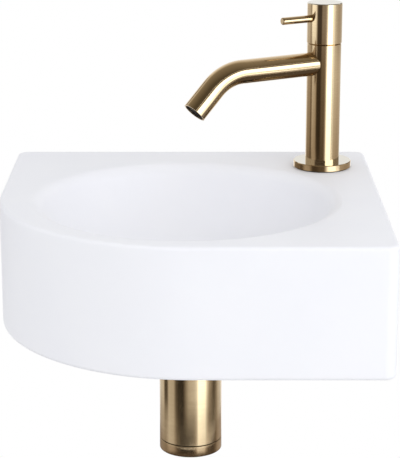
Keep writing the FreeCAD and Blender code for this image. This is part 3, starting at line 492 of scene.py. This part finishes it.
# The tap's body: a foot plate and an upright column turned from brass, and a tube bent down and
# screwed in. All are brushed round and then coated in a gold tone. The flat brushing gives long
# soft streaks of light.
GOLD = (0.80, 0.615, 0.385, 1)
GOLD_SHADE = (0.70, 0.532, 0.328, 1)
# painted reflection: a pale tone laid on level tops for the white room they mirror
GOLD_PAINTED_SHEEN = (0.70, 0.665, 0.57, 1)
# painted shade: a dark tone laid on level faces in the gaps between parts
GOLD_PAINTED_GAP_SHADE = (0.16, 0.12, 0.075, 1)
GOLD_ROUGHNESS = (0.07, 0.12)
GOLD_HANDLED = (-0.02, 0.03)
GOLD_FINENESS = 3600.0
JOINT_GAP = 0.0007
LEVEL_FACE = 0.9
SPOUT_BEARING = Vector((-0.859, -0.512, 0))
SPOUT_DIP = math.radians(22.5)
SPOUT_LINE = SPOUT_BEARING * math.cos(SPOUT_DIP) - Vector((0, 0, math.sin(SPOUT_DIP)))


def brushed_gold(name, axis):
    """Gold coat over brushed brass, with the brush marks round the given axis."""
    material, tree, skin = new_finish(name)
    marks = brushing(tree, axis, GOLD_FINENESS)
    handled = clouds(tree, size=60.0, limits=GOLD_HANDLED)
    polish = between(tree, marks, GOLD_ROUGHNESS)
    dress(tree, skin, tint(tree, marks, GOLD, GOLD_SHADE), reckon(tree, "ADD", polish, handled))
    relief(tree, skin, marks, strength=0.02, depth=0.00002)
    skin.inputs["Metallic"].default_value = 1.0
    return material, tree, skin.inputs["Base Color"]


def lay_over(tree, colour, share, other):
    """Lays another colour over what feeds a colour socket, as far as the share says."""
    tree.links.new(tint(tree, share, colour.links[0].from_socket, other), colour)


upright_gold, tree, colour = brushed_gold("brushed gold, upright", UPRIGHT)
up = split(tree, place_on(tree))[2]
end_face = above(tree, reckon(tree, "ABSOLUTE", upward(tree)), LEVEL_FACE)
# painted shade: level faces within a hair of the column's top and the bottle's foot are darkened
# where the handle and the clean-out cap meet them, for the shadow in the gaps
painted_gap_shade = any_of(tree, *[
    below(tree, reckon(tree, "ABSOLUTE", reckon(tree, "SUBTRACT", up, joint)), JOINT_GAP)
    for joint in (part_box("tap_column")[1].z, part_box("trap_bottle")[0].z)])
lay_over(tree, colour, all_of(tree, end_face, painted_gap_shade), GOLD_PAINTED_GAP_SHADE)
# painted reflection: the handle's top is laid over in a pale tone for the white room it mirrors
handle_top = above(tree, up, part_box("handle_cap")[1].z - JOINT_GAP)
lay_over(tree, colour, handle_top, GOLD_PAINTED_SHEEN)
coat(upright_gold, "tap_column")

foot_gold, tree, colour = brushed_gold("brushed gold, foot plate", UPRIGHT)
# painted reflection: the foot plate's level top is laid over in the same pale tone
lay_over(tree, colour, above(tree, upward(tree), LEVEL_FACE), GOLD_PAINTED_SHEEN)
coat(foot_gold, "tap_flange")
coat(brushed_gold("brushed gold, spout", SPOUT_LINE)[0], "tap_spout")


# The flow former: a nylon cup and a screen of small holes, pushed up into the mouth of the spout.
# It is moulded in dark nylon, breaks the water into a soft stream and shows only from below.
DARK_NYLON = (0.016, 0.015, 0.014, 1)
DARK_NYLON_PITS = (0.034, 0.032, 0.030, 1)
DARK_NYLON_ROUGHNESS = (0.40, 0.55)
dark_nylon, tree, skin = new_finish("dark nylon")
dress(tree, skin, tint(tree, grain(tree, size=1800.0), DARK_NYLON, DARK_NYLON_PITS),
      clouds(tree, size=180.0, limits=DARK_NYLON_ROUGHNESS))
coat(dark_nylon, "aerator_body", "aerator_screen")


# The valve inside the column: two discs of fired alumina, lapped flat against each other.
# One stays in the brass body, and the other turns with the spindle to open the way.
ALUMINA = (0.86, 0.84, 0.80, 1)
ALUMINA_PITS = (0.90, 0.885, 0.855, 1)
ALUMINA_ROUGHNESS = (0.16, 0.26)
alumina, tree, skin = new_finish("lapped alumina")
pitting = grain(tree, size=3200.0)
dress(tree, skin, tint(tree, pitting, ALUMINA, ALUMINA_PITS),
      between(tree, pitting, ALUMINA_ROUGHNESS))
coat(alumina, "headpart_fixed_disc", "headpart_moving_disc")


# The handle: a cap that sits on the spindle with a hair's gap above the column, and the thin pin
# that turns it. Both are turned from brass, brushed and coated like the column. The pin is pressed
# into the cap.
lever_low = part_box("lever_pin")[0]
lever_line = Vector((lever_low.x - tap.x, lever_low.y - tap.y, 0)).normalized()
coat(upright_gold, "handle_cap")
coat(brushed_gold("brushed gold, lever", lever_line)[0], "lever_pin")


# The waste: a flanged tail let down through the drain hole and drawn tight by a nut below, with a
# domed cover over its mouth. Both are gold coated brass. The tail has an inch and a quarter pipe
# thread, and a three-armed spider across its bore takes the stud of the cover.
WASTE_PITCH = 0.002309
WASTE_THREAD_DEPTH = 0.00148
TAIL_RADIUS = 0.0209
TAIL_BORE = 0.0180
WASTE_FLANGE_RADIUS = 0.0315
WASTE_FLANGE_THICKNESS = 0.0025
TURNED_EDGE = 0.0005
SPIDER_BELOW_TOP = 0.006
SPIDER_HEIGHT = 0.005
HUB_RADIUS = 0.006
HUB_BORE = 0.0031
HUB_SIDES = 48
SPOKE_WIDTH = 0.004
SPOKE_START = 0.0055
SPOKE_END = 0.0188
SPOKE_BEARINGS = (90, 210, 330)
flange_low = waste_high.z - WASTE_FLANGE_THICKNESS
tail = turned_piece("waste_body_threaded", drain, [
    (TAIL_BORE, waste_low.z),
    *thread_rows(TAIL_RADIUS, waste_low.z, flange_low, WASTE_PITCH, WASTE_THREAD_DEPTH),
    (WASTE_FLANGE_RADIUS, flange_low),
    (WASTE_FLANGE_RADIUS, waste_high.z - TURNED_EDGE),
    (WASTE_FLANGE_RADIUS - TURNED_EDGE, waste_high.z),
    (TAIL_BORE + TURNED_EDGE, waste_high.z),
    (TAIL_BORE, waste_high.z - TURNED_EDGE),
], upright_gold)
spider_top = waste_high.z - SPIDER_BELOW_TOP
spider_low = spider_top - SPIDER_HEIGHT
spider = turned_piece("waste_body_spider", drain, [
    (HUB_BORE, spider_low),
    (HUB_RADIUS, spider_low),
    (HUB_RADIUS, spider_top),
    (HUB_BORE, spider_top),
], upright_gold, HUB_SIDES)
shape = bmesh.new()
shape.from_mesh(spider.data)
for degrees in SPOKE_BEARINGS:
    spoke = Matrix.Translation((drain.x, drain.y, (spider_low + spider_top) / 2))
    spoke = spoke @ Matrix.Rotation(math.radians(degrees), 4, "Z")
    spoke = spoke @ Matrix.Translation(((SPOKE_START + SPOKE_END) / 2, 0, 0))
    spoke = spoke @ Matrix.Diagonal((SPOKE_END - SPOKE_START, SPOKE_WIDTH, SPIDER_HEIGHT, 1))
    bmesh.ops.create_cube(shape, size=1.0, matrix=spoke)
shape.to_mesh(spider.data)
shape.free()
for piece in (tail, spider):
    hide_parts("waste_body")
    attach(piece, "basin_body")
coat(upright_gold, "waste_cover")


# The bottle trap: a drawn brass bottle hung from the waste by a union nut, with a plain dip tube
# inside it. The bottle and its nuts are brushed and gold coated, and the nuts are turned round, to
# be done up by hand.
coat(upright_gold, "trap_inlet_nut", "trap_neck_nut", "trap_bottle")


# The clean-out cap: the foot of the bottle, which screws off to empty the trap. It is turned from
# brass and gold coated, with a two millimetre thread above a groove for its rubber ring.
cap_low, cap_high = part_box("trap_cap")
CAP_PITCH = 0.002
CAP_THREAD_DEPTH = 0.0011
CAP_RADIUS = 0.0251
CAP_HEIGHT = 0.0090
CAP_FLOOR = 0.003
CAP_FACE = 0.012
CAP_EDGE = 0.0006
CAP_EDGE_STEPS = 6
CAP_BREAK = 0.0002
CAP_SIDES = 128
SPIGOT_RADIUS = 0.0224
SPIGOT_WALL = 0.0034
GROOVE_DEPTH = 0.0023
GROOVE_HEIGHT = 0.0026
cap_top = cap_low.z + CAP_HEIGHT
groove_top = cap_top + GROOVE_HEIGHT
foot_edge = []
for step in range(CAP_EDGE_STEPS + 1):
    angle = math.radians(90 * step / CAP_EDGE_STEPS - 90)
    foot_edge.append((CAP_RADIUS - CAP_EDGE + CAP_EDGE * math.cos(angle),
                      cap_low.z + CAP_EDGE + CAP_EDGE * math.sin(angle)))
cap = turned_piece("trap_cap_threaded", drain, [
    (0, cap_low.z),
    (CAP_FACE, cap_low.z),
    *foot_edge,
    (CAP_RADIUS, cap_top - CAP_BREAK),
    (CAP_RADIUS - CAP_BREAK, cap_top),
    (SPIGOT_RADIUS - GROOVE_DEPTH, cap_top),
    (SPIGOT_RADIUS - GROOVE_DEPTH, groove_top),
    *thread_rows(SPIGOT_RADIUS, groove_top, cap_high.z, CAP_PITCH, CAP_THREAD_DEPTH),
    (SPIGOT_RADIUS - SPIGOT_WALL, cap_high.z),
    (SPIGOT_RADIUS - SPIGOT_WALL, cap_low.z + CAP_FLOOR),
    (0, cap_low.z + CAP_FLOOR),
], upright_gold, CAP_SIDES)
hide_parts("trap_cap")
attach(cap, "clean_out_cap")


# The outlet: a level gold coated pipe held in the bottle's side by a round nut, and a rosette that
# slides along it to cover the hole in the wall. The pipe runs on into the wall.
INTO_WALL = (0, 1, 0)
coat(brushed_gold("brushed gold, level", INTO_WALL)[0],
     "trap_outlet_nut", "trap_outlet_pipe", "trap_wall_rosette")


# The studio: a pale floor far below the basin, white all round, and a ring of lit and unlit
# screens on the viewer's side, with a dim ceiling and a floor mat, that only polished faces see.
# Four broad lamps stand round it.
FLOOR_LEVEL = -0.80
FLOOR_HALF = 6.0
FLOOR_GREY = (0.86, 0.86, 0.86, 1)
WHITE = (1, 1, 1, 1)
AMBIENT = 0.71
SCREEN_RADIUS = 1.6
SCREEN_TOP = 1.0
SCREEN_CENTRE = (0.05, -0.10, 0)
SCREEN_HEIGHTS = (FLOOR_LEVEL, -0.4, 0.2, SCREEN_TOP)
SCREEN_END = 150
SCREEN_STEP = 3
CEILING_STEP = 10
FULL_LIGHT = 4.0
DIM_TO_BRIGHT = (0.05, 0.9)
COOL_LIGHT = (1, 1.05, 1.08, 1)
TRAP_SHADE = (1, 0.87, 0.72, 1)
TAP_SHADE = (1, 0.77, 0.53, 1)
HANDLE_SHADE = (1, 0.86, 0.74, 1)
CEILING_SHADE = (1, 0.84, 0.58, 1)
MAT_SHADE = (1, 0.80, 0.64, 1)

# each band of screens takes over from the one below it between two heights, and its stops give
# its brightness by bearing from the viewer's side, in degrees, right of it positive
FOOT_STOPS = [
    (-150, 0.5), (-117, 0.5), (-104, 0.45), (-84, 0.72), (-66, 0.62), (-50, 0.2), (-36, 0.06),
    (-16, 0.03), (4, 0.05), (14, 0.16), (21, 0.5), (27, 1.4), (52, 1.2), (60, 0.55), (70, 0.2),
    (92, 0.12), (108, 0.3), (122, 0.6), (150, 0.7)]
TRAP_FROM = (-0.75, -0.71)
TRAP_STOPS = [
    (-150, 0.75), (-116, 0.7), (-107, 0.08), (-94, 0.08), (-86, 0.6), (-64, 0.55), (-55, 0.12),
    (-45, 0.04), (-28, 0.04), (-22, 0.18), (-15, 0.4), (-8, 0.6), (12, 0.76), (21, 1.05),
    (27, 2.2), (52, 2.1), (61, 1.0), (70, 0.5), (86, 0.22), (92, 0.1), (100, 0.12), (108, 0.3),
    (122, 0.7), (150, 0.9)]
PLATE_FROM = (-0.50, -0.46)
PLATE_STOPS = [
    (-150, 0.2), (-90, 0.1), (-75, 0.4), (-54, 0.4), (-40, 0.08), (8, 0.1), (18, 1.0), (30, 1.8),
    (68, 2.0), (76, 0.4), (100, 0.2), (150, 0.2)]
COLUMN_FROM = (-0.33, -0.32)
COLUMN_STOPS = [
    (-150, 0.6), (-124, 0.42), (-110, 0.45), (-96, 0.2), (-91, 0.25), (-84, 0.72), (-58, 0.52),
    (-47, 0.06), (-24, 0.05), (-14, 0.18), (4, 0.18), (9, 0.32), (17, 1.0), (23, 2.9), (52, 2.9),
    (58, 1.2), (68, 1.1), (74, 0.78), (88, 0.7), (110, 0.6), (150, 0.7)]
COLUMN_FOOT = (-0.33, -0.15)
COLUMN_FOOT_SHARE = (0.6, 1.0)
HANDLE_FROM = (-0.13, -0.10)
HANDLE_STOPS = [
    (-150, 0.55), (-116, 0.66), (-106, 0.4), (-98, 0.4), (-90, 1.4), (-62, 1.25), (-52, 0.4),
    (-47, 0.07), (-22, 0.07), (-15, 0.3), (6, 0.32), (14, 0.55), (20, 1.2), (26, 3.2), (50, 3.2),
    (58, 1.2), (68, 1.1), (74, 0.72), (95, 0.5), (110, 0.45), (150, 0.6)]
HIGH_FROM = (0.03, 0.07)
HIGH_STOPS = [
    (-150, 0.5), (-60, 0.5), (-50, 0.1), (18, 0.1), (24, 2.8), (74, 2.8), (80, 0.3), (150, 0.3)]
DARK_FROM = (0.68, 0.76)
DARK_LEVEL = (0.05, 0.05, 0.05, 1)


def plain_sheet(name, points, faces, material):
    mesh = bpy.data.meshes.new(name)
    mesh.from_pydata(points, [], faces)
    mesh.materials.append(material)
    piece = bpy.data.objects.new(name, mesh)
    bpy.context.scene.collection.objects.link(piece)
    return piece


def seen_directly(tree):
    """One for rays from the camera and those that a polished or clear face sends on, else zero."""
    rays = put(tree, "ShaderNodeLightPath").outputs
    return any_of(
        tree, rays["Is Camera Ray"], rays["Is Glossy Ray"], rays["Is Transmission Ray"])


def empty_finish(name):
    material = bpy.data.materials.new(name)
    material.use_nodes = True
    material.node_tree.nodes.clear()
    return material, material.node_tree


def glow(name):
    material, tree = empty_finish(name)
    lit = put(tree, "ShaderNodeEmission")
    put(tree, "ShaderNodeOutputMaterial", (), {"Surface": lit.outputs[0]})
    return material, tree, lit


def light_up(tree, lit, level, shade, bright):
    """Gives a glow its level, in the shade's tone where it is dim and the bright one elsewhere.

    Light on its way to a matt face gets the room's plain level instead.
    """
    tone = tint(tree, spread(tree, level, DIM_TO_BRIGHT), shade, bright)
    colour = reckon_vector(tree, "MULTIPLY", tone, level)
    bounced = above(tree, put(tree, "ShaderNodeLightPath").outputs["Diffuse Depth"], 0.5)
    plain = (AMBIENT, AMBIENT, AMBIENT, 1)
    tree.links.new(tint(tree, bounced, colour, plain), lit.inputs["Color"])


def only_in_polish(piece):
    piece.visible_camera = False
    piece.visible_diffuse = False
    piece.visible_transmission = False
    piece.visible_volume_scatter = False
    piece.visible_shadow = False


def bearing_of(tree, place):
    """The bearing of a place from the viewer's side, with the whole circle from zero to one."""
    across, along = split(tree, place)[:2]
    turn = reckon(tree, "ARCTAN2", across, reckon(tree, "MULTIPLY", along, -1.0))
    return spread(tree, turn, (-math.pi, math.pi))


def brightness(tree, bearing, stops):
    """Brightness by bearing, as a share of full light."""
    ramp = put(tree, "ShaderNodeValToRGB", (), {0: bearing})
    elements = ramp.color_ramp.elements
    elements.remove(elements[1])
    for index, (degrees, level) in enumerate(stops):
        position = (degrees + 180) / 360
        element = elements[0] if index == 0 else elements.new(position)
        element.position = position
        element.color = (*[level / FULL_LIGHT] * 3, 1)
    return ramp.outputs[0]


def on_ring(degrees, height):
    angle = math.radians(degrees)
    return SCREEN_RADIUS * math.sin(angle), -SCREEN_RADIUS * math.cos(angle), height


floor_paint, tree = empty_finish("pale floor")
matt = put(tree, "ShaderNodeBsdfDiffuse", (), {"Color": FLOOR_GREY})
white = put(tree, "ShaderNodeEmission", (), {"Color": WHITE, "Strength": 1.0})
mixed = put(tree, "ShaderNodeMixShader", (),
            {0: seen_directly(tree), 1: matt.outputs[0], 2: white.outputs[0]})
put(tree, "ShaderNodeOutputMaterial", (), {"Surface": mixed.outputs[0]})
floor_corners = [
    (right * FLOOR_HALF, back * FLOOR_HALF, FLOOR_LEVEL)
    for right, back in ((-1, -1), (1, -1), (1, 1), (-1, 1))]
plain_sheet("floor", floor_corners, [(0, 1, 2, 3)], floor_paint)

screen_light, tree, lit = glow("screens")
place = place_on(tree)
up = split(tree, place)[2]
bearing = bearing_of(tree, place)
level = brightness(tree, bearing, FOOT_STOPS)
for heights, stops in (
        (TRAP_FROM, TRAP_STOPS), (PLATE_FROM, PLATE_STOPS), (COLUMN_FROM, COLUMN_STOPS),
        (HANDLE_FROM, HANDLE_STOPS), (HIGH_FROM, HIGH_STOPS)):
    band = brightness(tree, bearing, stops)
    if stops is COLUMN_STOPS:
        foot_share = spread(tree, up, COLUMN_FOOT, COLUMN_FOOT_SHARE)
        band = reckon(tree, "MULTIPLY", band, foot_share)
    level = tint(tree, spread(tree, up, heights), level, band)
level = tint(tree, spread(tree, up, DARK_FROM), level, DARK_LEVEL)
level = reckon(tree, "MULTIPLY", level, FULL_LIGHT)
shade = tint(tree, spread(tree, up, PLATE_FROM), TRAP_SHADE, TAP_SHADE)
shade = tint(tree, spread(tree, up, HANDLE_FROM), shade, HANDLE_SHADE)
light_up(tree, lit, level, shade, COOL_LIGHT)
screen_bearings = range(-SCREEN_END, SCREEN_END + 1, SCREEN_STEP)
screen_points = [
    on_ring(degrees, height) for degrees in screen_bearings for height in SCREEN_HEIGHTS]
screen_faces = []
rows = len(SCREEN_HEIGHTS)
for step in range(len(screen_bearings) - 1):
    for row in range(rows - 1):
        one = rows * step + row
        screen_faces.append((one, one + rows, one + rows + 1, one + 1))
screens = plain_sheet("screens", screen_points, screen_faces, screen_light)
screens.location = SCREEN_CENTRE
only_in_polish(screens)

CEILING_FRONT = (-0.90, 0.25)
CEILING_FRONT_LEVEL = (0.10, 0.29)
CEILING_REAR = (0.25, 0.80)
CEILING_REAR_LEVEL = (0.0, 0.46)
ceiling_light, tree, lit = glow("dim ceiling")
along = split(tree, place_on(tree))[1]
front_light = spread(tree, along, CEILING_FRONT, CEILING_FRONT_LEVEL)
rear_light = spread(tree, along, CEILING_REAR, CEILING_REAR_LEVEL)
light_up(tree, lit, reckon(tree, "ADD", front_light, rear_light), CEILING_SHADE, WHITE)
ceiling_points = [
    on_ring(degrees, SCREEN_TOP) for degrees in range(-SCREEN_END, SCREEN_END + 1, CEILING_STEP)]
whole_sheet = [tuple(range(len(ceiling_points)))]
only_in_polish(plain_sheet("ceiling", ceiling_points, whole_sheet, ceiling_light))

MAT_LIFT = 0.01
MAT_SHARE = 0.62
MAT_EDGE = (1.20, 1.30)
MAT_MIDDLE = (0.10, 0.10, 0.10, 1)
mat_light, tree, lit = glow("floor mat")
place = reckon_vector(tree, "SUBTRACT", place_on(tree), drain)
level = brightness(tree, bearing_of(tree, place), FOOT_STOPS)
level = reckon(tree, "MULTIPLY", level, FULL_LIGHT * MAT_SHARE)
level = tint(tree, spread(tree, level_length(tree, place), MAT_EDGE), MAT_MIDDLE, level)
light_up(tree, lit, level, MAT_SHADE, WHITE)
mat_points = [(*point[:2], FLOOR_LEVEL + MAT_LIFT) for point in ceiling_points]
only_in_polish(plain_sheet("floor mat", mat_points, whole_sheet, mat_light))

world = bpy.data.worlds.new("white studio")
bpy.context.scene.world = world
world.use_nodes = True
tree = world.node_tree
tree.nodes.clear()
level = between(tree, seen_directly(tree), (AMBIENT, 1.0))
sky = put(tree, "ShaderNodeBackground", (), {"Color": WHITE, "Strength": level})
put(tree, "ShaderNodeOutputWorld", (), {"Surface": sky.outputs[0]})

LAMP_AIM = Vector((0, -0.15, 0))
for name, stand, width, power in (
        ("right lamp", (1.05, -1.35, 0.45), 1.4, 9.2),
        ("high lamp", (0.2, -1.3, 1.15), 1.6, 4.2),
        ("left lamp", (-1.5, -0.3, 0.30), 1.4, 5.4),
        ("rear lamp", (1.2, 0.5, 0.80), 1.4, 2.6)):
    lamp = bpy.data.lights.new(name, "AREA")
    lamp.size = width
    lamp.energy = power
    lamp_stand = bpy.data.objects.new(name, lamp)
    bpy.context.scene.collection.objects.link(lamp_stand)
    lamp_stand.location = stand
    aim = LAMP_AIM - lamp_stand.location
    lamp_stand.rotation_euler = aim.to_track_quat("-Z", "Y").to_euler()
    lamp_stand.visible_glossy = False


# The camera: it stands a metre and a half out from the wall, above the rim and nearly in the
# middle, and looks down by some sixteen degrees through a long lens. The lens is given in pixels
# of a picture of 400 by 458.
IMAGE_LONG_SIDE = 458
LENS_PIXELS = 1737
SENSOR_WIDTH = 36
CAMERA_STAND = (0.0076, -1.4766, 0.3995)
CAMERA_DIP = 15.70
lens = bpy.data.cameras.new("camera")
lens.sensor_width = SENSOR_WIDTH
lens.lens = LENS_PIXELS / IMAGE_LONG_SIDE * lens.sensor_width
camera = bpy.data.objects.new("camera", lens)
bpy.context.scene.collection.objects.link(camera)
camera.location = CAMERA_STAND
camera.rotation_euler = (math.radians(90 - CAMERA_DIP), 0, 0)
bpy.context.scene.camera = camera
bpy.context.scene.view_settings.view_transform = "Standard"
